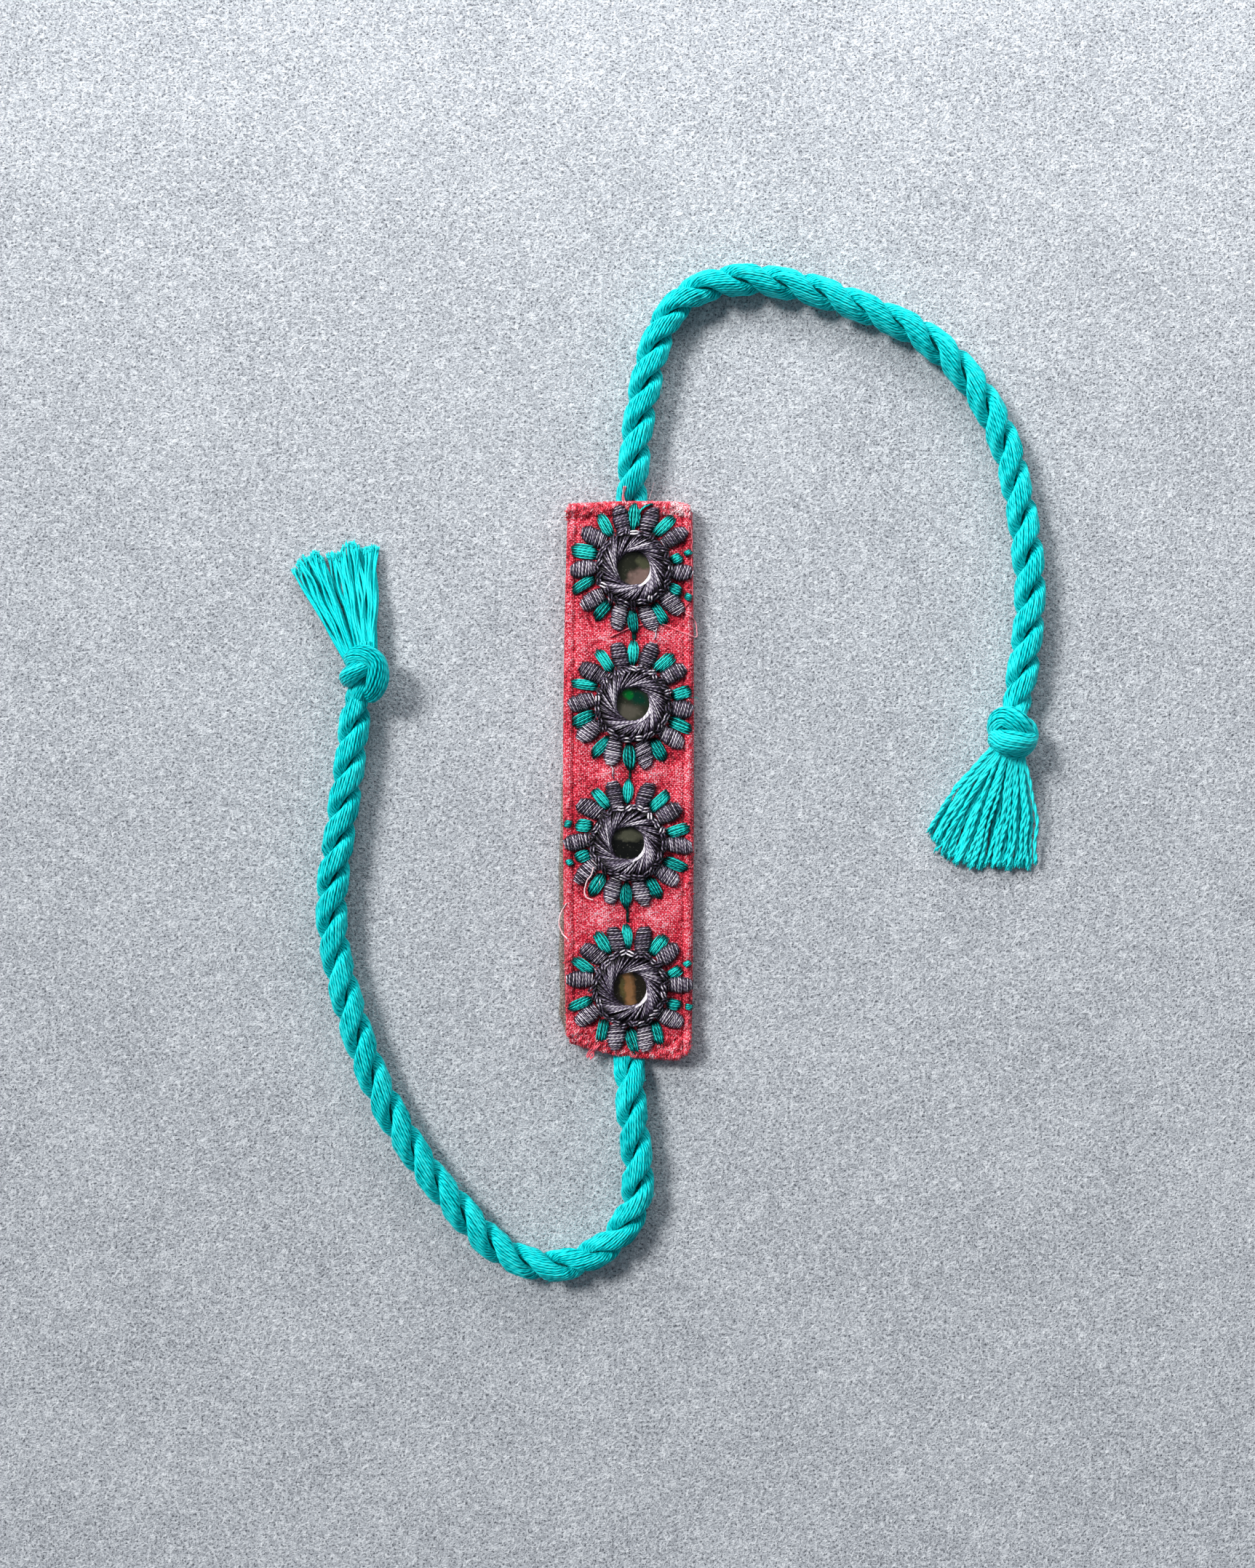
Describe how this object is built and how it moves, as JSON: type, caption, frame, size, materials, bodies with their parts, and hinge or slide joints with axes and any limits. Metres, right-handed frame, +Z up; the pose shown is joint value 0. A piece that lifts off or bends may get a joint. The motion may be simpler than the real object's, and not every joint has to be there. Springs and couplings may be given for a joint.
{
  "type": "rakhi thread bracelet",
  "caption": "Tie-on rakhi bracelet: a red cotton band with mirror-work flowers in grey and teal thread, and a knotted, tasselled twisted cord at each end.",
  "frame": {"origin": "middle of the cloth band's underside, on the surface that the bracelet lies on", "axes": "+Y along the band towards the upper cord, +X across the band to the right seen from above, +Z up out of the embroidered face"},
  "size_m": [0.1208, 0.1609, 0.0071],
  "materials": {
    "backing_cloth": "plain weave",
    "red_cotton": "plain weave",
    "mirror": "polished",
    "grey_thread": "glossy thread",
    "teal_thread": "glossy thread",
    "cord_thread": "glossy thread"
  },
  "bodies": {
    "root": {"backing": "backing_cloth", "band": "red_cotton", "mirror_1": "mirror", "ring_1": "grey_thread", "petals_1": "grey_thread", "rays_1": "teal_thread", "mirror_2": "mirror", "ring_2": "grey_thread", "petals_2": "grey_thread", "rays_2": "teal_thread", "mirror_3": "mirror", "ring_3": "grey_thread", "petals_3": "grey_thread", "rays_3": "teal_thread", "mirror_4": "mirror", "ring_4": "grey_thread", "petals_4": "grey_thread", "rays_4": "teal_thread", "cord_upper": "cord_thread", "knot_upper": "cord_thread", "tassel_upper": "cord_thread", "cord_lower": "cord_thread", "knot_lower": "cord_thread", "tassel_lower": "cord_thread"}
  },
  "joints": []
}
